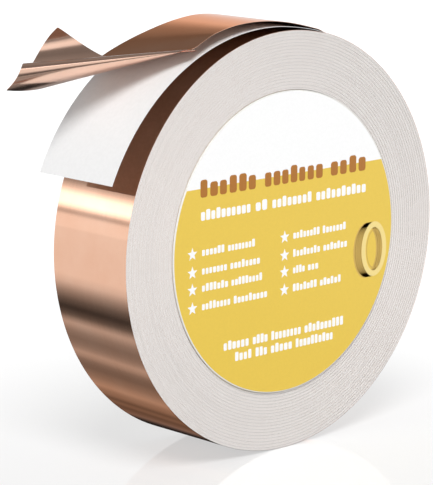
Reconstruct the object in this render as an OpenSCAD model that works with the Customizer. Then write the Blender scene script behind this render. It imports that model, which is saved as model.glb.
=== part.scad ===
// Copper foil tape roll: self-adhesive copper foil wound with a paper
// release liner on a cardboard core, with a printed label disc over the
// front of the core. The free end of the foil is peeled off its liner,
// and its front corner is curled up.
//
// Frame: origin in the middle of the core's bore, half way across the
// tape. Y is the roll's axis and the label faces -Y. Z is up, X is right
// as seen from the label side, and the tape winds outwards
// counter-clockwise on that side.

/* [Roll] */
// Outside diameter of the full roll
roll_d = 120; // [95:1:160]
// Width of the tape, and of the core
tape_w = 30; // [10:1:60]
// Angle above +X at which the tape leaves the roll
leave_angle = 75; // [60:1:90]

/* [Core] */
// Bore of the cardboard core
bore_d = 76.2; // [25:0.1:80]
// Wall of the core, all three windings together
core_wall = 5; // [3:0.5:8]
// Thickness of each kraft ply, inside and outside
ply_t = 0.8; // [0.3:0.1:1.2]

/* [Tape] */
// Thickness of the copper foil
foil_t = 0.05; // [0.03:0.01:0.1]
// Thickness of the adhesive coat
adhesive_t = 0.03; // [0.02:0.01:0.06]
// Thickness of the paper release liner
liner_t = 0.1; // [0.06:0.01:0.15]
// Length of the tape that holds the first turn to the core
start_tape_l = 25; // [10:1:40]
// Thickness of that start tape
start_tape_t = 0.1; // [0.05:0.01:0.2]

/* [Label] */
// Thickness of the label's card disc
card_t = 0.5; // [0.2:0.1:1.5]
// Thickness of the printed sheet on it
print_t = 0.1; // [0.05:0.05:0.2]
// How far the printed sheet stops short of the card's rim
print_margin = 0.3; // [0:0.1:2]

/* [Free liner] */
// How much flatter than the roll the first stretch of the liner lies
lift_open = 42; // [20:1:200]
// Length of that stretch
lift_l = 14.7; // [4:0.1:20]
// How much flatter than the roll the rest of it lies
flap_open = 3.7; // [1:0.1:30]
// Length of the near half of the rest
flap_l = 34; // [20:1:50]
// Length of the far half
flap_end_l = 46.5; // [20:0.5:60]

/* [Free foil] */
// Length of the free foil along its middle line
foil_l = 94.4; // [80:0.1:100]
// Place along it of the slanting line where its corner starts to curl
curl_at = 46; // [40:1:52]

/* [Fits] */
// Gap along the tape between one piece and the next that moves on it
hinge_gap = 0.4; // [0.2:0.1:1]
// Gap under the lifted liner and under the peeled foil at their roots
peel_gap = 0.25; // [0.1:0.05:0.5]

/* [Hidden] */
$fn = 96;
bore_r = bore_d/2;
core_r = bore_r + core_wall;
front_y = -tape_w/2;
pitch = liner_t + adhesive_t + foil_t;
// one whole turn and a part turn are drawn strip by strip on the pack
turns_r = roll_d/2 - 2*pitch;
adhesive_at = liner_t;
foil_at = liner_t + adhesive_t;
start_tape_a = start_tape_l/core_r*180/PI;

// The free foil's middle line: its place along the tape, its bend per
// millimetre on top of the roll's own (positive towards the roll), and
// the slant of the lines about which it bends, as length along the tape
// per unit of width.
foil_bends = [
  [0, -0.0195, 0],
  [15, -0.0012, 0.09],
  [30, 0.0019, 0.29],
  [42, -0.0092, 0.07],
  [52, 0.0046, -0.43],
  [60, -0.0411, -0.55],
  [68, -0.0670, -0.97],
  [76, -0.0489, -1.51],
  [84, -0.1998, -2.14],
  [94, 0.1135, -1.55],
  [104, 0.0631, -1.03]
];
tail_steps = 40;
curl_steps = 80;

function bend(s) = 2/roll_d + lookup(s, [for (b = foil_bends) [b[0], b[1]]]);
function slant(s) = lookup(s, [for (b = foil_bends) [b[0], b[2]]]);

// The places along the middle line of the lines the foil bends about.
// They run past the cut end, because the last ones cross only a corner.
curl_gap = hinge_gap*sqrt(1 + pow(slant(curl_at), 2));
last_s = foil_l - slant(foil_l + 10)*tape_w/2 - 0.2;
tail_s = [for (i = [0:tail_steps])
  hinge_gap + (curl_at - curl_gap/2 - hinge_gap)*i/tail_steps];
curl_s = [for (i = [0:curl_steps])
  curl_at + curl_gap/2 + (last_s - curl_at - curl_gap/2)*i/curl_steps];
free_s = concat([0], tail_s, curl_s);

// A frame is a point of the middle line, the way along it and the way
// across it, towards the front edge.
leave_out = [cos(leave_angle), 0, sin(leave_angle)];
foil_root_r = roll_d/2 - foil_t + 2*peel_gap;
root_frame = [foil_root_r*leave_out, [-leave_out[2], 0, leave_out[0]], [0, -1, 0]];

function turned(v, about, a) =
  v*cos(a) + cross(about, v)*sin(a) + about*(about*v)*(1 - cos(a));

function next_frame(f, s, ds) =
  let (
    w = bend(s + ds/2)*(slant(s + ds/2)*f[1] + f[2]),
    n = max(norm(w), 1e-9),
    a = n*ds*180/PI
  )
  [
    f[0] + ds*turned(f[1], w/n, a/2),
    turned(f[1], w/n, a),
    turned(f[2], w/n, a)
  ];

free_frames = [
  for (
    i = 0, f = root_frame;
    i < len(free_s);
    f = i + 1 < len(free_s) ? next_frame(f, free_s[i], free_s[i + 1] - free_s[i]) : f,
    i = i + 1
  ) f
];

// How far across a bend line reaches on the back edge's side, where the
// cut end may stop it short.
function back_reach(s) =
  s + slant(s)*-tape_w/2 > foil_l ? (foil_l - s)/slant(s) : -tape_w/2;

// A point on bend line i, u across from the middle and `in` inwards.
function on_line(i, u, in) =
  let (f = free_frames[i])
  f[0] + u*(f[2] + slant(free_s[i])*f[1]) + in*cross(f[2], f[1]);

module around_y() {
  rotate([90, 0, 0])
    children();
}

// A closed ring about Y, from one radius to another.
module ring(r0, r1, y0, y1) {
  translate([0, y0, 0])
    rotate([-90, 0, 0])
      difference() {
        cylinder(r = r1, h = y1 - y0);
        translate([0, 0, -1])
          cylinder(r = r0, h = y1 - y0 + 2);
      }
}

// A strip as wide as the tape, on an arc about Y.
module arc_strip(r, t, from, to) {
  around_y()
    translate([0, 0, -tape_w/2])
      rotate_extrude(angle = to - from, start = from)
        translate([r, 0])
          square([t, tape_w]);
}

// One of the tape's strips on the roll's outermost turns: half turns
// about two centres, so that each turn ends on the start of the next.
module outer_turns(at, t) {
  arc_strip(turns_r + at, t, 0, 180);
  translate([pitch/2, 0, 0])
    arc_strip(turns_r + pitch/2 + at, t, 180, 360);
  arc_strip(turns_r + pitch + at, t, 0, leave_angle);
}

// A layer of the free foil between two bend lines, in0 to in1 inwards.
// Its two broad faces are split along the same diagonals, so that the
// foil and its adhesive share one surface.
module free_layer(first, last, in0, in1) {
  n = last - first;
  ring_points = [
    for (i = [first:last])
      for (c = [[0, in0], [0, in1], [1, in1], [1, in0]])
        on_line(i, c[0] == 0 ? tape_w/2 : back_reach(free_s[i]), c[1])
  ];
  sides = [
    for (i = [0:n - 1])
      for (k = [0:3])
        let (a = 4*i + k, b = 4*i + (k + 1)%4)
        for (f = k == 3 ? [[a, b, a + 4], [b, b + 4, a + 4]] : [[a, b, b + 4], [a, b + 4, a + 4]]) f
  ];
  ends = [
    [0, 3, 2],
    [0, 2, 1],
    [4*n, 4*n + 1, 4*n + 2],
    [4*n, 4*n + 2, 4*n + 3]
  ];
  polyhedron(ring_points, concat(sides, ends), convexity = 6);
}

// The free liner is three arcs that meet smoothly.
flap_root_r = turns_r + pitch + peel_gap;
lift_r = roll_d/2 + lift_open;
flap_r = roll_d/2 + flap_open;
lift_a = leave_angle + lift_l/lift_r*180/PI;
flap_a = lift_a + flap_l/flap_r*180/PI;
flap_end_a = flap_a + flap_end_l/flap_r*180/PI;
lift_centre = (flap_root_r - lift_r)*leave_out;
flap_centre = lift_centre + (lift_r - flap_r)*[cos(lift_a), 0, sin(lift_a)];

module core_inner_ply() {
  color([0.72, 0.58, 0.42])
    ring(bore_r, bore_r + ply_t, front_y, -front_y);
}

module core_board() {
  color([0.62, 0.58, 0.52])
    ring(bore_r + ply_t, core_r - ply_t, front_y, -front_y);
}

module core_outer_ply() {
  color([0.72, 0.58, 0.42])
    ring(core_r - ply_t, core_r, front_y, -front_y);
}

module start_tape() {
  color([0.9, 0.85, 0.65])
    arc_strip(core_r, start_tape_t, 225, 225 + start_tape_a);
}

// The inner turns, with the step on which the first outer turn starts.
module inner_turns() {
  color([0.9, 0.88, 0.87])
    difference() {
      union() {
        arc_strip(bore_r, turns_r - bore_r, 0, 180);
        translate([pitch/2, 0, 0])
          arc_strip(bore_r, turns_r + pitch/2 - bore_r, 180, 360);
      }
      around_y()
        cylinder(r = core_r, h = tape_w + 2, center = true);
      start_tape();
    }
}

module outer_liner_turns() {
  color([0.95, 0.95, 0.95])
    outer_turns(0, liner_t);
}

module outer_adhesive_turns() {
  color([0.85, 0.8, 0.7])
    outer_turns(adhesive_at, adhesive_t);
}

module outer_foil_turns() {
  color([0.85, 0.58, 0.44])
    outer_turns(foil_at, foil_t);
}

module liner_flap() {
  color([0.95, 0.95, 0.95]) {
    translate(lift_centre)
      arc_strip(lift_r, liner_t, leave_angle + hinge_gap/lift_r*180/PI, lift_a);
    translate(flap_centre)
      arc_strip(flap_r, liner_t, lift_a, flap_a - hinge_gap/2/flap_r*180/PI);
  }
}

module liner_end() {
  color([0.95, 0.95, 0.95])
    translate(flap_centre)
      arc_strip(flap_r, liner_t, flap_a + hinge_gap/2/flap_r*180/PI, flap_end_a);
}

module foil_tail() {
  color([0.85, 0.58, 0.44])
    free_layer(1, tail_steps + 1, -foil_t, 0);
}

module foil_tail_adhesive() {
  color([0.85, 0.8, 0.7])
    free_layer(1, tail_steps + 1, 0, adhesive_t);
}

module foil_corner() {
  color([0.85, 0.58, 0.44])
    free_layer(tail_steps + 2, len(free_s) - 1, -foil_t, 0);
}

module foil_corner_adhesive() {
  color([0.85, 0.8, 0.7])
    free_layer(tail_steps + 2, len(free_s) - 1, 0, adhesive_t);
}

module label_card() {
  color([0.93, 0.92, 0.9])
    ring_disc(core_r, front_y - card_t, card_t);
}

module label_print() {
  color([0.89, 0.75, 0.3])
    ring_disc(core_r - print_margin, front_y - card_t - print_t, print_t);
}

module ring_disc(r, y0, t) {
  translate([0, y0, 0])
    rotate([-90, 0, 0])
      cylinder(r = r, h = t);
}

core_inner_ply();
core_board();
core_outer_ply();
start_tape();
inner_turns();
outer_liner_turns();
outer_adhesive_turns();
outer_foil_turns();
liner_flap();
liner_end();
foil_tail();
foil_tail_adhesive();
foil_corner();
foil_corner_adhesive();
label_card();
label_print();
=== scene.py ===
"""Copper foil tape roll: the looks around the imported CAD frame."""

import math

import bmesh
import bpy
import numpy as np
from mathutils import Matrix, Vector


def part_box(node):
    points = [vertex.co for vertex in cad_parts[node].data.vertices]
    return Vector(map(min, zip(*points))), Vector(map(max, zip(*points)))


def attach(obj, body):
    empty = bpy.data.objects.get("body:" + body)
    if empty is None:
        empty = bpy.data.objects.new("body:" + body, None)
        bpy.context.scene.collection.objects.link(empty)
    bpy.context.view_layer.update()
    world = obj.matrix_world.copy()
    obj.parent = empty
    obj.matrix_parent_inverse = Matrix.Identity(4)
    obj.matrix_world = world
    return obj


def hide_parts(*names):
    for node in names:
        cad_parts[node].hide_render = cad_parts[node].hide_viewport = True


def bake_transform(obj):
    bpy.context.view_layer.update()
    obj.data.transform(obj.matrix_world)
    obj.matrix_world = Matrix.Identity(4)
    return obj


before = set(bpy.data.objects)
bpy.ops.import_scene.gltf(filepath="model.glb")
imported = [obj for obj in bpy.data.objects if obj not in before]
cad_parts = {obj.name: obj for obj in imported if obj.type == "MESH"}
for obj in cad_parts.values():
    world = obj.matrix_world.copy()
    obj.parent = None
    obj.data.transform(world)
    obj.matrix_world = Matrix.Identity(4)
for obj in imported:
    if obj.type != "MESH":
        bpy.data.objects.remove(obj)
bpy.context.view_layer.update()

MM = 0.001
FULL = 2 * math.pi

# ---------------------------------------------------------------- sizes
# From the frame: the roll's radii and faces, in metres.
wrap_lo, wrap_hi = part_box("outer_foil_turns")
card_lo, card_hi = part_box("label_card")
print_lo, print_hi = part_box("label_print")

HALF_W = wrap_hi.y
CORE_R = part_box("core_outer_ply")[1].x
BOARD_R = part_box("core_board")[1].x
BORE_PLY_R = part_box("core_inner_ply")[1].x
PLY_T = 0.8 * MM
FLOOR_Z = wrap_lo.z

# The tape: its three layers, the gap under its free ends at their roots, and
# the angle above +X at which it leaves the roll.
FOIL_T = 0.05 * MM
ADHESIVE_T = 0.03 * MM
LINER_T = 0.10 * MM
PITCH = FOIL_T + ADHESIVE_T + LINER_T
PEEL_GAP = 0.25 * MM
LEAVE = math.radians(75)
ROLL_R = -wrap_lo.z + PITCH / 2


# ------------------------------------------------------------ materials
def material(name, base, rough, metallic=0.0, **sockets):
    """A Principled material; other sockets by name, with _ for each space."""
    mat = bpy.data.materials.new(name)
    mat.use_nodes = True
    shader = mat.node_tree.nodes["Principled BSDF"]
    shader.inputs["Base Color"].default_value = (*base, 1)
    shader.inputs["Roughness"].default_value = rough
    shader.inputs["Metallic"].default_value = metallic
    for key, value in sockets.items():
        shader.inputs[key.replace("_", " ")].default_value = value
    return mat


def node(mat, kind, **settings):
    made = mat.node_tree.nodes.new(kind)
    for key, value in settings.items():
        if key in made.inputs:
            made.inputs[key].default_value = value
        else:
            setattr(made, key, value)
    return made


def link(mat, out, into):
    mat.node_tree.links.new(out, into)


def shader_of(mat):
    return mat.node_tree.nodes["Principled BSDF"]


def noise(mat, scale, stretch=(1, 1, 1), detail=3.0, rough=0.55):
    """Noise over the object's own coordinates, in metres, stretched per axis."""
    where = node(mat, "ShaderNodeTexCoord")
    spread = node(mat, "ShaderNodeMapping")
    spread.inputs["Scale"].default_value = stretch
    tex = node(mat, "ShaderNodeTexNoise", Scale=scale, Detail=detail, Roughness=rough)
    link(mat, where.outputs["Object"], spread.inputs["Vector"])
    link(mat, spread.outputs["Vector"], tex.inputs["Vector"])
    return tex.outputs["Fac"]


def ramp(mat, value, stops):
    """A colour ramp from stops of (position, colour)."""
    made = node(mat, "ShaderNodeValToRGB")
    items = made.color_ramp.elements
    while len(items) < len(stops):
        items.new(0.5)
    for item, (at, colour) in zip(items, stops):
        item.position = at
        item.color = (*colour, 1)
    link(mat, value, made.inputs["Fac"])
    return made.outputs["Color"]


def grey(v):
    return (v, v, v)


def grey_ramp(owner, value, stops):
    """A ramp of greys in a material or world, from stops of (position, grey)."""
    return ramp(owner, value, [(at, grey(level)) for at, level in stops])


def bump(mat, value, height, strength=1.0):
    made = node(mat, "ShaderNodeBump", Strength=strength, Distance=height)
    link(mat, value, made.inputs["Height"])
    link(mat, made.outputs["Normal"], shader_of(mat).inputs["Normal"])


def speckle(mat, base, dark, scale, low=0.35, high=0.65):
    """Lets the base colour wander between two shades."""
    colour = ramp(mat, noise(mat, scale), [(low, dark), (high, base)])
    link(mat, colour, shader_of(mat).inputs["Base Color"])


def copper_material():
    """Rolled copper foil: mirror-like, with faint rolling lines and smudges."""
    base, rosy = (0.92, 0.55, 0.39), (0.95, 0.60, 0.44)
    mat = material("copper_foil", base, 0.07, metallic=1.0, Specular_Tint=(0.80, 0.50, 0.36, 1))
    tint = ramp(mat, noise(mat, 90, detail=4), [(0.3, base), (0.7, rosy)])
    link(mat, tint, shader_of(mat).inputs["Base Color"])
    smudge = grey_ramp(mat, noise(mat, 60, detail=5), [(0.35, 0.05), (0.7, 0.09)])
    link(mat, smudge, shader_of(mat).inputs["Roughness"])
    bump(mat, noise(mat, 120, stretch=(0.25, 9, 0.25), detail=2), 0.00002, 0.25)
    return mat


def backed_copper_material():
    """The foil's sticky side: copper seen through a clear adhesive coat."""
    base, pale = (0.90, 0.58, 0.44), (0.94, 0.63, 0.49)
    mat = material(
        "copper_adhesive_side", base, 0.16, metallic=1.0, Coat_Weight=0.3, Coat_Roughness=0.2
    )
    tint = ramp(mat, noise(mat, 120, detail=4), [(0.3, base), (0.7, pale)])
    link(mat, tint, shader_of(mat).inputs["Base Color"])
    bump(mat, noise(mat, 900, detail=3), 0.00001, 0.3)
    return mat


def paper_material(name, base, dark, rough, fibre=900, coat=0.0):
    """Paper that wanders between two shades; fibre is how fine, per metre."""
    mat = material(name, base, rough, Coat_Weight=coat, Coat_Roughness=0.25)
    speckle(mat, base, dark, fibre)
    bump(mat, noise(mat, fibre, detail=5), 0.00002, 0.35)
    return mat


def kraft_material():
    """Kraft paper, mottled and with long fibres."""
    base, dark = (0.56, 0.40, 0.25), (0.42, 0.28, 0.16)
    mat = material("kraft_ply", base, 0.85)
    speckle(mat, base, dark, 420, 0.3, 0.7)
    bump(mat, noise(mat, 1500, stretch=(1, 0.4, 1), detail=5), 0.00004, 0.5)
    return mat


def print_material(name, base):
    """A printed colour with a slight gloss."""
    mat = material(name, base, 0.42, Coat_Weight=0.15, Coat_Roughness=0.3)
    speckle(mat, base, tuple(c * 0.975 for c in base), 1400)
    bump(mat, noise(mat, 2600, detail=2), 0.000008, 0.2)
    return mat


MAT = {
    "copper": copper_material(),
    "backed": backed_copper_material(),
    "liner": paper_material("silicone_liner", grey(0.79), grey(0.765), 0.42, coat=0.2),
    # The liner's underside: paper painted darker than its top as painted shade, which the copper under
    # the lifted liner reflects.
    "liner_back_painted_shade": paper_material("liner_back_painted_shade", (0.40, 0.365, 0.335), (0.36, 0.33, 0.30), 0.8),
    "edge_paper": paper_material("liner_edge", (0.93, 0.92, 0.91), (0.90, 0.89, 0.88), 0.7, 1800),
    "edge_copper": paper_material("foil_edge", (0.60, 0.51, 0.46), (0.52, 0.43, 0.38), 0.5, 2200),
    # The foil edge in the deeper grooves: painted shade, a darker copper than the other foil edges.
    "edge_painted_shade": paper_material("foil_edge_painted_shade", (0.34, 0.27, 0.24), (0.28, 0.22, 0.19), 0.5, 2200),
    "card": paper_material("label_card", (0.80, 0.79, 0.76), (0.74, 0.73, 0.70), 0.7, 1300),
    "board": paper_material("grey_board", (0.44, 0.41, 0.36), (0.36, 0.33, 0.29), 0.9, 700),
    "kraft": kraft_material(),
    "ink_white": print_material("print_white", grey(0.93)),
    "ink_yellow": print_material("print_yellow", (0.78, 0.545, 0.068)),
    "ink_brown": print_material("print_brown", (0.40, 0.145, 0.008)),
    "ink_pale": print_material("print_pale", (0.86, 0.68, 0.25)),
    "ink_ochre": print_material("print_ochre", (0.62, 0.40, 0.08)),
    "start": paper_material("start_tape", (0.70, 0.62, 0.40), (0.64, 0.56, 0.36), 0.6, 900),
}


# --------------------------------------------------------------- meshes
def mesh_object(name, points, faces, mats, face_mats=None, smooth=True):
    """An object from points in metres, its faces turned outwards."""
    data = bpy.data.meshes.new(name)
    data.from_pydata([tuple(p) for p in points], [], [tuple(f) for f in faces])
    for mat in mats:
        data.materials.append(mat)
    if face_mats is not None:
        data.polygons.foreach_set("material_index", np.asarray(face_mats, np.int32))
    data.polygons.foreach_set("use_smooth", np.full(len(data.polygons), smooth))
    data.validate()
    shell = bmesh.new()
    shell.from_mesh(data)
    bmesh.ops.recalc_face_normals(shell, faces=shell.faces)
    shell.to_mesh(data)
    shell.free()
    data.update()
    made = bpy.data.objects.new(name, data)
    bpy.context.scene.collection.objects.link(made)
    return made


def on_roll(obj, slot, *nodes):
    """A piece that turns with the roll, in place of any CAD nodes named."""
    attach(obj, "roll")
    if nodes:
        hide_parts(*nodes)
    return obj


# ----------------------------------------------------------- roll geometry
TURNS_R = ROLL_R - 2 * PITCH
LAPS = int((TURNS_R + PITCH - CORE_R) / PITCH)
STEPS = 180
# Every fifth lap lies a little deeper, and its groove is painted darker as painted shade.
DARK_EVERY = 5


def spiral(angle, offset=0.0):
    """A point of the winding: half turns about two centres, angle in radians."""
    half = math.floor(angle / math.pi + 1e-9)
    radius = TURNS_R + half * PITCH / 2 + offset
    centre = PITCH / 2 if half % 2 else 0.0
    return centre + radius * math.cos(angle), radius * math.sin(angle)


def wound_edge(name, side, seed):
    """Half of the wound pack: a spiral of liner ridges and foil grooves, closed behind, with the
    deeper grooves painted darker as painted shade.
    """
    draw = np.random.default_rng(seed)
    total = LAPS * STEPS + round(LEAVE / FULL * STEPS)
    first = LEAVE + FULL - total * FULL / STEPS
    ridge_in = draw.uniform(0.0, 0.012, LAPS + 3) * MM
    groove_in = draw.uniform(0.035, 0.075, LAPS + 3) * MM
    # These laps lie deeper; their grooves take the foil edge painted darker as shade.
    strong = np.arange(LAPS + 3) % DARK_EVERY == 2
    ridge_in[strong] += 0.045 * MM
    groove_in[strong] += 0.05 * MM
    phase = draw.uniform(0, FULL, LAPS + 3)
    under_foil = PITCH - 0.06 * MM
    points = []

    def add(step, offset, deep):
        lap = min(step // STEPS, LAPS + 1)
        x, z = spiral(first + step * FULL / STEPS, offset)
        wave = 0.006 * MM * (1 + math.sin(3 * FULL * step / STEPS + phase[lap]))
        depth = (groove_in if deep else ridge_in)[lap] + wave
        points.append((x, side * (HALF_W - depth), z))
        return len(points) - 1

    # Row 0 of one lap closes the lap inside it, so it runs one lap further.
    rows = [
        [add(q, under_foil - PITCH if q >= total else 0.0, False) for q in range(total + STEPS + 1)]
    ]
    # The ridge's outer rim, then the groove's two sides: how far out of the
    # turn each lies, in mm, on the covered laps and on the last, open one.
    for covered, last, deep in ((0.10, 0.10, False), (0.115, 0.107, True), (0.165, 0.113, True)):
        rows.append(
            [add(q, (covered if q <= total - STEPS else last) * MM, deep) for q in range(total + 1)]
        )
    back = {}
    for q in (*range(STEPS + 1), *range(total, total + STEPS + 1)):
        points.append((points[rows[0][q]][0], 0.0, points[rows[0][q]][2]))
        back[q] = len(points) - 1

    faces, paint = [], []

    def face(kind, *corners):
        faces.append(corners if side < 0 else corners[::-1])
        paint.append(kind)

    for q in range(total):
        # Painted shade: the grooves of the deeper laps take the darker foil edge.
        groove = 2 if strong[q // STEPS] else 1
        for k in range(3):
            face(groove if k else 0, rows[k][q], rows[k + 1][q], rows[k + 1][q + 1], rows[k][q + 1])
        above = q + STEPS
        face(groove, rows[3][q], rows[0][above], rows[0][above + 1], rows[3][q + 1])
    for q in range(STEPS):
        face(0, rows[0][q], rows[0][q + 1], back[q + 1], back[q])
        out = total + q
        face(0, rows[0][out + 1], rows[0][out], back[out], back[out + 1])
    face(0, back[0], back[STEPS], rows[0][STEPS], *(rows[k][0] for k in (3, 2, 1, 0)))
    ends = [rows[k][total] for k in (0, 1, 2, 3)]
    face(0, *ends, rows[0][total + STEPS], back[total + STEPS], back[total])
    for q in range(STEPS):
        out = total + (q - total) % STEPS
        loop = [back[q], back[q + 1]]
        if out + 1 == total + STEPS:
            loop.append(back[total])
        loop += [back[out + 1], back[out]]
        if q == 0:
            loop.append(back[STEPS])
        face(0, *loop)
    # Liner edge, foil edge, and the foil edge with painted shade for the deeper grooves.
    mats = [MAT["edge_paper"], MAT["edge_copper"], MAT["edge_painted_shade"]]
    made = mesh_object(name, points, faces, mats, paint, smooth=False)
    return on_roll(made, "wound_edge")


front_edge = wound_edge("wound_edge_front", -1, 11)
back_edge = wound_edge("wound_edge_back", 1, 12)
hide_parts("inner_turns", "outer_liner_turns")
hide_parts("outer_adhesive_turns")


# ------------------------------------------------------------ copper turn
def swept(name, section_rows, mats, paint_of):
    """A closed strip: rows of points, each row one closed loop round the strip."""
    count = len(section_rows[0])
    points = [p for row in section_rows for p in row]
    faces, paint = [], []
    for i in range(len(section_rows) - 1):
        for j in range(count):
            k = (j + 1) % count
            faces.append((i * count + j, (i + 1) * count + j, (i + 1) * count + k, i * count + k))
            paint.append(paint_of(j))
    last = (len(section_rows) - 1) * count
    faces.append(tuple(range(count)))
    faces.append(tuple(last + j for j in reversed(range(count))))
    paint += [paint_of(count - 1)] * 2
    return mesh_object(name, points, faces, mats, paint)


def sheet_section(centre, across, out, front_back, low, high, count):
    """One loop round a thin sheet: outer side front to back, then the inner side."""
    us = np.linspace(*front_back, count)
    top = [centre + across * u + out * high for u in us]
    under = [centre + across * u + out * low for u in us[::-1]]
    return top + under


def sharpen(obj, degrees=40):
    """Keeps broad faces smooth without rounding over the edges between them."""
    obj.data.set_sharp_from_angle(angle=math.radians(degrees))
    return obj


def copper_wrap():
    """The outermost turn of foil, with shallow dents round it."""
    steps, waves, deepest = 720, 6, 0.008 * MM
    rows = []
    draw = np.random.default_rng(7)
    amps = draw.uniform(0.3, 1.0, waves)
    shifts = draw.uniform(0, FULL, waves)
    for i in range(steps + 1):
        a = LEAVE + FULL * i / steps
        dent = sum(m * math.sin((5 + 4 * k) * a + p) for k, (m, p) in enumerate(zip(amps, shifts)))
        dent = -deepest / 2 * (dent / waves + 1)
        low = spiral(a, LINER_T + ADHESIVE_T)
        high = spiral(a, PITCH + dent)
        ys = np.linspace(-HALF_W, HALF_W, 5)
        rows.append([(high[0], y, high[1]) for y in ys] + [(low[0], y, low[1]) for y in ys[::-1]])
    made = sharpen(swept("copper_outer_turn", rows, [MAT["copper"]], lambda j: 0))
    on_roll(made, "copper", "outer_foil_turns")


copper_wrap()


# ------------------------------------------------------------------- core
def layer_lines(mat):
    """Paper layers seen on a ring's end: fine lines round the roll's axis."""
    where = node(mat, "ShaderNodeTexCoord")
    flat = node(mat, "ShaderNodeVectorMath", operation="MULTIPLY")
    flat.inputs[1].default_value = (1, 0, 1)
    length = node(mat, "ShaderNodeVectorMath", operation="LENGTH")
    lines = node(mat, "ShaderNodeTexNoise", noise_dimensions="1D", Scale=4200, Detail=2.0)
    link(mat, where.outputs["Object"], flat.inputs[0])
    link(mat, flat.outputs[0], length.inputs[0])
    link(mat, length.outputs["Value"], lines.inputs["W"])
    bump(mat, lines.outputs["Fac"], 0.00008, 0.4)


def wound_ply(name, r0, r1, grooved, seam_at, old):
    """A spirally wound ply: a closed ring with the helical gap between its laps of paper.

    grooved is "inner" or "outer", the side on which the gap shows, and seam_at
    where it crosses the middle of the ring.
    """
    lean = math.radians(62)
    deep = 0.3 * MM
    gap_a = 0.5 * MM / r0
    fine = [k * gap_a for k in (-1.2, -1, -0.8, 0.8, 1, 1.2)]
    angles = [(a, 0.0 if abs(a) > 0.9 * gap_a else 1.0) for a in fine]
    angles += [(a, 0.0) for a in np.linspace(2 * gap_a, FULL - 2 * gap_a, 150)]
    points = []
    rings = 25
    for y in np.linspace(-HALF_W, HALF_W, rings):
        shear = 2 * y / (math.tan(lean) * r0)
        for radius, depth in (
            (r0, deep if grooved == "inner" else 0.0),
            (r1, -deep if grooved == "outer" else 0.0),
        ):
            for a, cut in angles:
                turn = seam_at + a + shear
                r = radius + depth * cut
                points.append((r * math.cos(turn), y, r * math.sin(turn)))
    n = len(angles)
    faces = []
    for i in range(rings - 1):
        a, b = i * 2 * n, (i + 1) * 2 * n
        for j in range(n):
            k = (j + 1) % n
            faces.append((a + j, a + k, b + k, b + j))
            faces.append((a + n + k, a + n + j, b + n + j, b + n + k))
    last = (rings - 1) * 2 * n
    for j in range(n):
        k = (j + 1) % n
        faces.append((j, n + j, n + k, k))
        faces.append((last + k, last + n + k, last + n + j, last + j))
    made = sharpen(mesh_object(name, points, faces, [MAT["kraft"]]), 30)
    on_roll(made, "kraft", old)


BORE_R = BORE_PLY_R - PLY_T
wound_ply("core_bore_ply", BORE_R, BORE_PLY_R, "inner", math.radians(200), "core_inner_ply")
wound_ply("core_wrap_ply", BOARD_R, CORE_R, "outer", math.radians(40), "core_outer_ply")
layer_lines(MAT["board"])


# ------------------------------------------------------------------ label
def prism(name, outline, y_front, y_back, mat, bevel=0.0):
    """A flat plate from an outline of (x, z), with its front rim rounded by bevel."""
    n = len(outline)
    flat = np.array(outline)
    inward = flat.mean(axis=0) - flat
    inward = inward / np.linalg.norm(inward, axis=1)[:, None]
    loops = [(0.0, y_back)]
    if bevel:
        for t in np.linspace(0, math.pi / 2, 5):
            loops.append((bevel * (1 - math.cos(t)), y_front + bevel * (1 - math.sin(t))))
    else:
        loops.append((0.0, y_front))
    points, faces = [], []
    for cut, y in loops:
        points += [(x, y, z) for x, z in flat + inward * cut]
    for i in range(len(loops) - 1):
        for j in range(n):
            k = (j + 1) % n
            faces.append((i * n + j, i * n + k, (i + 1) * n + k, (i + 1) * n + j))
    faces.append(tuple(reversed(range(n))))
    faces.append(tuple((len(loops) - 1) * n + j for j in range(n)))
    return mesh_object(name, points, faces, [mat], smooth=bevel > 0)


def circle(radius, steps, start=0.0, end=FULL, whole=True):
    """A circle's points, or an arc's from start to end where whole is False."""
    return [
        (radius * math.cos(a), radius * math.sin(a))
        for a in np.linspace(start, end, steps, endpoint=not whole)
    ]


# The label's planes from front to back, and the height at which its yellow
# lower field meets the white upper one.
PRINT_FRONT = print_lo.y
SIDE_FRONT = PRINT_FRONT + 0.015 * MM
SHEET_FRONT = PRINT_FRONT + 0.03 * MM
CARD_FRONT = card_lo.y
PRINT_R = print_hi.x
HORIZON = 19.4 * MM


def label_plates():
    """The card, and the printed sheet's two fields."""
    rim = circle(CORE_R, 360)
    card = prism("label_card_disc", rim, CARD_FRONT, card_hi.y, MAT["card"], bevel=0.12 * MM)
    on_roll(sharpen(card, 50), "label_card", "label_card")
    edge_a = math.asin(HORIZON / PRINT_R)
    lower = circle(PRINT_R, 300, math.pi - edge_a, FULL + edge_a, whole=False)
    upper = circle(PRINT_R, 180, edge_a, math.pi - edge_a, whole=False)
    yellow = prism("print_lower_field", lower, SHEET_FRONT, CARD_FRONT, MAT["ink_yellow"])
    on_roll(yellow, "label_print", "label_print")
    white = prism("print_upper_field", upper, SHEET_FRONT, CARD_FRONT, MAT["ink_white"])
    on_roll(white, "label_print")


label_plates()


def rounded(x0, x1, z0, z1, radius, steps=4):
    """A rounded rectangle's outline, in millimetres."""
    corners = ((x1, z1, 0), (x0, z1, 90), (x0, z0, 180), (x1, z0, 270))
    outline = []
    for x, z, start in corners:
        cx = x - radius if x == x1 else x + radius
        cz = z - radius if z == z1 else z + radius
        for k in range(steps + 1):
            a = math.radians(start + 90 * k / steps)
            outline.append((cx + radius * math.cos(a), cz + radius * math.sin(a)))
    return outline


def star(x, z, radius):
    """A five-pointed star's outline, in millimetres."""
    outline = []
    for k in range(10):
        r = radius if k % 2 == 0 else radius * 0.42
        a = math.pi / 2 + k * math.pi / 5
        outline.append((x + r * math.cos(a), z + r * math.sin(a)))
    return outline


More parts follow.
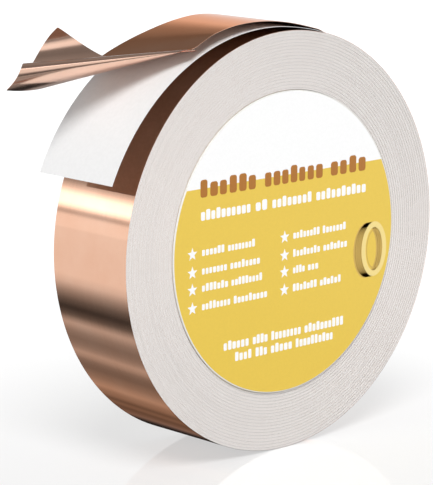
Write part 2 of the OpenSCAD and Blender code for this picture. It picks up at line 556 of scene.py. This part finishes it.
def stamps(name, outlines, mat, front=PRINT_FRONT):
    """Many small printed marks as one piece of thin plates, outlines in millimetres."""
    base = SHEET_FRONT
    points, faces = [], []
    for outline in outlines:
        n, first = len(outline), len(points)
        points += [(x * MM, base, z * MM) for x, z in outline]
        points += [(x * MM, front, z * MM) for x, z in outline]
        middle = len(points)
        cx, cz = np.mean(np.array(outline), axis=0)
        points += [(cx * MM, base, cz * MM), (cx * MM, front, cz * MM)]
        for j in range(n):
            k = (j + 1) % n
            a, b = first + j, first + k
            faces.append((a, b, b + n, a + n))
            faces.append((a + n, b + n, middle + 1))
            faces.append((b, a, middle))
    on_roll(mesh_object(name, points, faces, [mat], smooth=False), "label_print")


def blank_words(x0, x1, z0, z1, words, step, tall, seed):
    """Plain blocks that fill a line as words would, with no letter in them.

    The line runs from x0 to x1 and z0 to z1, in millimetres. words are the words'
    shares of it, step is the width of one block with its gap, and some blocks
    stand taller by tall.
    """
    draw = np.random.default_rng(seed)
    gap = step * 0.75
    run = x1 - x0 - gap * (len(words) - 1)
    share = run / sum(words)
    outlines, x = [], x0
    for count in words:
        width = share * count
        cells = max(1, round(width / step))
        cell = width / cells
        for k in range(cells):
            body = cell * draw.uniform(0.70, 0.80)
            top = z1 + (tall if draw.random() < 0.3 else 0.0)
            outlines.append(rounded(x + k * cell, x + k * cell + body, z0, top, body * 0.3))
        x += width + gap
    return outlines


# The four bullet lines: height, and where the left and the right one end.
BULLET_LINES = ((1.6, -12.3, 24.0), (-3.6, -10.3, 24.6), (-8.4, -9.4, 12.9), (-13.6, -7.4, 22.2))
STAR_X = (-36.2, -0.9)
STAR_R = 1.9


def label_lines():
    """The title, the line under it, two columns of bullet lines and two closing lines."""
    title = blank_words(-33.2, 32.5, 16.9, 20.9, [6.5, 7, 4.5], 3.5, 0.9, 3)
    stamps("print_title_blocks", title, MAT["ink_brown"])
    small = blank_words(-33.0, 32.2, 10.5, 12.9, [19.3, 5, 16, 20.7], 2.0, 0.6, 4)
    for z, left_end, right_end in BULLET_LINES:
        low, high, seed = z - 0.95, z + 0.75, int(50 - z)
        small += blank_words(-32.6, left_end, low, high, [1, 1.2], 1.4, 0.5, seed)
        small += blank_words(2.5, right_end, low, high, [1, 0.9], 1.4, 0.5, seed + 60)
    small += blank_words(-24.4, 23.4, -27.4, -25.3, [1, 0.6, 1.2, 1.6], 1.6, 0.5, 91)
    small += blank_words(-20.0, 19.2, -31.1, -29.0, [0.7, 0.5, 0.9, 1.6], 1.6, 0.5, 92)
    stamps("print_text_blocks", small, MAT["ink_white"])
    bullets = [star(x, z, STAR_R) for z, _, _ in BULLET_LINES for x in STAR_X]
    stamps("print_bullets", bullets, MAT["ink_white"])


def hoop(cx, cz, a, b, width, steps=64):
    """Short plates round an ellipse of half axes a and b, which together draw its band."""
    plates = []
    ts = np.linspace(0, FULL, steps + 1)
    a2, b2 = a - width, b - width
    for t0, t1 in zip(ts[:-1], ts[1:]):
        c0, s0, c1, s1 = math.cos(t0), math.sin(t0), math.cos(t1), math.sin(t1)
        plates.append([
            (cx + a * c0, cz + b * s0), (cx + a * c1, cz + b * s1),
            (cx + a2 * c1, cz + b2 * s1), (cx + a2 * c0, cz + b2 * s0),
        ])
    return plates


def ring_pictogram():
    """A tape roll drawn flat: its side shows to the left, its near face on top."""
    x, z = 35.6, -6.8
    a, b = 5.2, 8.1
    side = [
        plate for shift in np.linspace(-3.4, -0.4, 5) for plate in hoop(x + shift, z, a, b, 0.9)
    ]
    stamps("print_ring_side", side, MAT["ink_ochre"], front=SIDE_FRONT)
    stamps("print_ring_band", hoop(x, z, a, b, 1.7), MAT["ink_pale"])
    stamps("print_ring_rim", hoop(x, z, a - 2.0, b - 2.3, 0.35), MAT["ink_ochre"])


label_lines()
ring_pictogram()


# -------------------------------------------------------------- free foil
# Place along the tape (mm), bend per mm on top of the roll's own, and slant of
# the line it bends about.
FOIL_BENDS = np.array([
    (0, -0.0195, 0),
    (15, -0.0012, 0.09),
    (30, 0.0019, 0.29),
    (42, -0.0092, 0.07),
    (52, 0.0046, -0.43),
    (60, -0.0411, -0.55),
    (68, -0.067, -0.97),
    (76, -0.0489, -1.51),
    (84, -0.1998, -2.14),
    (94, 0.1135, -1.55),
    (104, 0.0631, -1.03),
])
# The foil's free length, a place where a way for its corner is worked out but
# not used, and how far along it and the liner are drawn down to the roll.
FOIL_L = 94.4
CURL_AT = 46.0
FOIL_SETTLES, LINER_SETTLES = 3.5, 2.5
HALF_MM = HALF_W / MM
LEAD = np.array([math.cos(LEAVE), 0.0, math.sin(LEAVE)])
FOIL_ROOT = (ROLL_R - FOIL_T) / MM + 2 * PEEL_GAP / MM


def bend(s):
    """The free foil's whole bend at a place along it, per millimetre."""
    return MM / ROLL_R + float(np.interp(s, FOIL_BENDS[:, 0], FOIL_BENDS[:, 1]))


def slant(s):
    """How far along the tape the bending line runs for each unit of width."""
    return float(np.interp(s, FOIL_BENDS[:, 0], FOIL_BENDS[:, 2]))


def turned(v, about, a):
    """v turned about a unit axis by the angle a."""
    along = about * (about @ v)
    return v * math.cos(a) + np.cross(about, v) * math.sin(a) + along * (1 - math.cos(a))


def free_frames(stations):
    """The foil's middle line: a point, the way along and the way to the front edge."""
    at = FOIL_ROOT * LEAD
    along = np.array([-LEAD[2], 0.0, LEAD[0]])
    across = np.array([0.0, -1.0, 0.0])
    frames = [(at, along, across)]
    for s0, s1 in zip(stations[:-1], stations[1:]):
        mid = (s0 + s1) / 2
        axis = bend(mid) * (slant(mid) * along + across)
        size = max(float(np.linalg.norm(axis)), 1e-9)
        a = size * (s1 - s0)
        at = at + (s1 - s0) * turned(along, axis / size, a / 2)
        across = turned(across, axis / size, a)
        along = turned(along, axis / size, a)
        frames.append((at, along, across))
    return frames


def settle(s, reach):
    """1 at the root, easing to 0 at reach: how far a free sheet is drawn down to the roll."""
    t = min(max(s / reach, 0.0), 1.0)
    return 1 - t * t * (3 - 2 * t)


def inner_side(count):
    """Paints a section's inner side with the second material, its outer side with the first."""
    return lambda j: 1 if count <= j < 2 * count - 1 else 0


def free_foil():
    """The free foil with its adhesive side, as one strip cut square at its end."""
    last = FOIL_L - slant(FOIL_L + 10) * HALF_MM - 0.2
    stations = np.concatenate([np.linspace(0, 60, 121), np.linspace(60, last, 260)[1:]])
    frames = free_frames(stations)
    rows = []
    count = 15
    for s, (at, along, across) in zip(stations, frames):
        e = slant(s)
        low_u = -HALF_MM
        if s + e * -HALF_MM > FOIL_L:
            low_u = (FOIL_L - s) / e
        rule = across + e * along
        out = -np.cross(across, along)
        down = LEAD * (2 * PEEL_GAP / MM - 0.02) * settle(s, FOIL_SETTLES)
        section = sheet_section(
            at - down, rule, out, (HALF_MM, low_u), -ADHESIVE_T / MM, FOIL_T / MM, count
        )
        rows.append([tuple(q * MM) for q in section])
    made = sharpen(swept("foil_free_end", rows, [MAT["copper"], MAT["backed"]], inner_side(count)), 50)
    index = int(np.searchsorted(stations, CURL_AT))
    at, along, across = frames[index]
    axis = across + slant(CURL_AT) * along
    normal = np.cross(across, along)
    way = np.cross(axis, normal)
    way = way / np.linalg.norm(way)
    if way @ along < 0:
        way = -way
    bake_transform(made)
    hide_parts("foil_tail", "foil_tail_adhesive", "foil_corner", "foil_corner_adhesive")
    return made


foil_piece = free_foil()


# ------------------------------------------------------------- free liner
# A flatter first stretch, then the rest in two halves of one radius, in
# millimetres.
LIFT_R, FLAP_R = ROLL_R / MM + 42.0, ROLL_R / MM + 3.7
LIFT_L, FLAP_L, FLAP_END_L = 14.7, 34.0, 46.5


def free_liner():
    """The free liner, as one strip."""
    root_r = (TURNS_R + PITCH + PEEL_GAP) / MM
    lift_a = LEAVE + LIFT_L / LIFT_R
    flap_a = lift_a + FLAP_L / FLAP_R
    end_a = flap_a + FLAP_END_L / FLAP_R
    c1 = (root_r - LIFT_R) * LEAD
    c2 = c1 + (LIFT_R - FLAP_R) * np.array([math.cos(lift_a), 0, math.sin(lift_a)])

    def at(a):
        centre, radius = (c1, LIFT_R) if a < lift_a else (c2, FLAP_R)
        out = np.array([math.cos(a), 0.0, math.sin(a)])
        return centre + radius * out, out

    rows = []
    count = 9
    for a in np.linspace(LEAVE, end_a, 161):
        point, out = at(a)
        s = (a - LEAVE) * FLAP_R
        down = LEAD * (PEEL_GAP / MM - 0.01) * settle(s, LINER_SETTLES)
        across = np.array([0.0, -1.0, 0.0])
        section = sheet_section(
            point - down, across, out, (HALF_MM, -HALF_MM), 0.0, LINER_T / MM, count
        )
        rows.append([tuple(q * MM) for q in section])
    # Top side white, underside with painted shade.
    mats = [MAT["liner"], MAT["liner_back_painted_shade"]]
    made = sharpen(swept("liner_free_end", rows, mats, inner_side(count)), 50)
    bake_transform(made)
    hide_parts("liner_flap", "liner_end")
    return made


liner_piece = free_liner()


# ------------------------------------------------ materials of CAD pieces
def repaint(name, mat):
    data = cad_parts[name].data
    data.materials.clear()
    data.materials.append(mat)


for name, key in (
    ("core_board", "board"),
    ("start_tape", "start"),
    ("core_inner_ply", "kraft"),
    ("core_outer_ply", "kraft"),
    ("inner_turns", "edge_paper"),
    ("outer_liner_turns", "liner"),
    ("outer_adhesive_turns", "edge_copper"),
    ("outer_foil_turns", "copper"),
    ("liner_flap", "liner"),
    ("liner_end", "liner"),
    ("foil_tail", "copper"),
    ("foil_tail_adhesive", "backed"),
    ("foil_corner", "copper"),
    ("foil_corner_adhesive", "backed"),
    ("label_card", "card"),
    ("label_print", "ink_yellow"),
):
    repaint(name, MAT[key])


# -------------------------------------------------------- floor and light
def floor_material():
    """A glossy floor that glows a little, so that it stays white beside its reflections."""
    mat = material(
        "pale_floor", grey(0.35), 0.06, Emission_Color=(1, 1, 1, 1), Emission_Strength=0.56
    )
    bump(mat, noise(mat, 40, detail=2), 0.00002, 0.02)
    return mat


def flat_stage(name, z, mat, reach=6):
    """A level square about the roll, in metres, which is not part of the object."""
    points = [(-reach, -reach, z), (reach, -reach, z), (reach, reach, z), (-reach, reach, z)]
    made = mesh_object(name, points, [(0, 1, 2, 3)], [mat], smooth=False)
    return made


floor = flat_stage("floor", FLOOR_Z - 0.02 * MM, floor_material())
floor.visible_glossy = False


# Brightness of the surroundings by height, the upward part of a direction, and
# the same on the left, where a lamp band stands just above the horizon.
ROOM = ((0.0, 1.05), (0.21, 1.0), (0.28, 0.40), (0.36, 0.20), (0.7, 0.19), (1.0, 0.27))
ROOM_LEFT = (
    (0.0, 1.0), (0.07, 1.0), (0.09, 0.55), (0.105, 0.65), (0.125, 1.5), (0.15, 2.2),
    (0.20, 2.1), (0.245, 0.9), (0.28, 0.40), (0.36, 0.20), (0.7, 0.19), (1.0, 0.27),
)


def soft_world():
    """A bright band low round the horizon, a dimmer room above it, a lamp band on the left."""
    world = bpy.data.worlds.new("studio")
    bpy.context.scene.world = world
    world.use_nodes = True
    where = node(world, "ShaderNodeTexCoord")
    split = node(world, "ShaderNodeSeparateXYZ")
    left = node(world, "ShaderNodeMapRange")
    left.inputs["From Min"].default_value = -0.25
    left.inputs["From Max"].default_value = -0.45
    both = node(world, "ShaderNodeMix", data_type="RGBA")
    factor, plain, lamp = both.inputs["Factor"], both.inputs[6], both.inputs[7]
    link(world, where.outputs["Generated"], split.inputs[0])
    link(world, split.outputs["X"], left.inputs["Value"])
    link(world, left.outputs["Result"], factor)
    link(world, grey_ramp(world, split.outputs["Z"], ROOM), plain)
    link(world, grey_ramp(world, split.outputs["Z"], ROOM_LEFT), lamp)
    back = world.node_tree.nodes["Background"]
    link(world, both.outputs[2], back.inputs["Color"])


# Painted reflection: bands of painted light and shade which polished metal sees
# in place of the floor, by distance from the roll's middle to its left or right,
# in millimetres. The bands lean a little: they come nearer to the middle towards
# the label side.
GLINTS = (
    (0, 0.02), (15, 0.03), (18, 0.14), (21, 0.32), (24, 0.10), (27, 0.28), (29.5, 0.14),
    (32, 0.30), (35, 0.36), (38, 0.52), (41.3, 0.34), (44, 0.28), (48.5, 0.18), (52.5, 0.26),
    (56.9, 0.52), (61, 0.30), (66.8, 0.22), (73, 0.30), (79.6, 0.52), (88, 0.12), (96.4, 0.04),
    (108, 0.14), (121, 0.34), (140, 0.72), (160, 0.88), (260, 0.88), (640, 0.9),
)


GLINT_LEAN = 0.08


def floor_glints():
    """A glowing reflector under the floor, which only glossy rays see: painted reflection, not a lamp.
    """
    mat = bpy.data.materials.new("reflector")
    mat.use_nodes = True
    mat.node_tree.nodes.clear()
    where = node(mat, "ShaderNodeTexCoord")
    split = node(mat, "ShaderNodeSeparateXYZ")
    aside = node(mat, "ShaderNodeMath", operation="ABSOLUTE")
    lean = node(mat, "ShaderNodeMath", operation="MULTIPLY_ADD")
    lean.inputs[1].default_value = -GLINT_LEAN
    share = node(mat, "ShaderNodeMath", operation="MULTIPLY")
    furthest = GLINTS[-1][0]
    share.inputs[1].default_value = 1 / (furthest * MM)
    glow = node(mat, "ShaderNodeEmission")
    end = node(mat, "ShaderNodeOutputMaterial")
    link(mat, where.outputs["Object"], split.inputs[0])
    link(mat, split.outputs["X"], aside.inputs[0])
    link(mat, split.outputs["Y"], lean.inputs[0])
    link(mat, aside.outputs[0], lean.inputs[2])
    link(mat, lean.outputs[0], share.inputs[0])
    colour = grey_ramp(mat, share.outputs[0], [(x / furthest, level) for x, level in GLINTS])
    link(mat, colour, glow.inputs["Color"])
    link(mat, glow.outputs[0], end.inputs["Surface"])
    mat.cycles.emission_sampling = "NONE"
    # Painted reflection: a glowing sheet that the camera, diffuse light and shadows pass by.
    reflector = flat_stage("floor_reflector", FLOOR_Z - 2 * MM, mat)
    reflector.visible_camera = False
    reflector.visible_diffuse = False
    reflector.visible_shadow = False
    reflector.visible_transmission = False


def key_light():
    """A broad soft sun from the front left, which leaves no glint of its own."""
    sun = bpy.data.lights.new("key", "SUN")
    sun.energy = 2.8
    sun.angle = math.radians(28)
    lamp = bpy.data.objects.new("key", sun)
    lamp.rotation_euler = Vector((-0.36, -0.45, 0.82)).to_track_quat("Z", "Y").to_euler()
    lamp.visible_glossy = False
    bpy.context.scene.collection.objects.link(lamp)


soft_world()
floor_glints()
key_light()

# ----------------------------------------------------------------- camera
# Where the camera stands, in metres, and how it is turned, to match the photograph.
AZ, EL, ROLL = math.radians(43.15), math.radians(11.57), math.radians(0.11)
CAMERA_AT = (-0.51716, -0.53825, 0.15040)
LENS = 197.7


def place_camera():
    """The camera on the object, with no depth of field."""
    data = bpy.data.cameras.new("camera")
    data.lens = LENS
    data.sensor_width = 36
    data.clip_start = 0.05
    data.clip_end = 50
    cam = bpy.data.objects.new("camera", data)
    back = Vector((-math.sin(AZ) * math.cos(EL), -math.cos(AZ) * math.cos(EL), math.sin(EL)))
    right = Vector((math.cos(AZ), -math.sin(AZ), 0))
    up = back.cross(right)
    right, up = (
        right * math.cos(ROLL) + up * math.sin(ROLL),
        up * math.cos(ROLL) - right * math.sin(ROLL),
    )
    turn = Matrix((right, up, back)).transposed().to_4x4()
    turn.translation = Vector(CAMERA_AT)
    cam.matrix_world = turn
    bpy.context.scene.collection.objects.link(cam)
    bpy.context.scene.camera = cam


place_camera()
bpy.context.scene.view_settings.view_transform = "Standard"
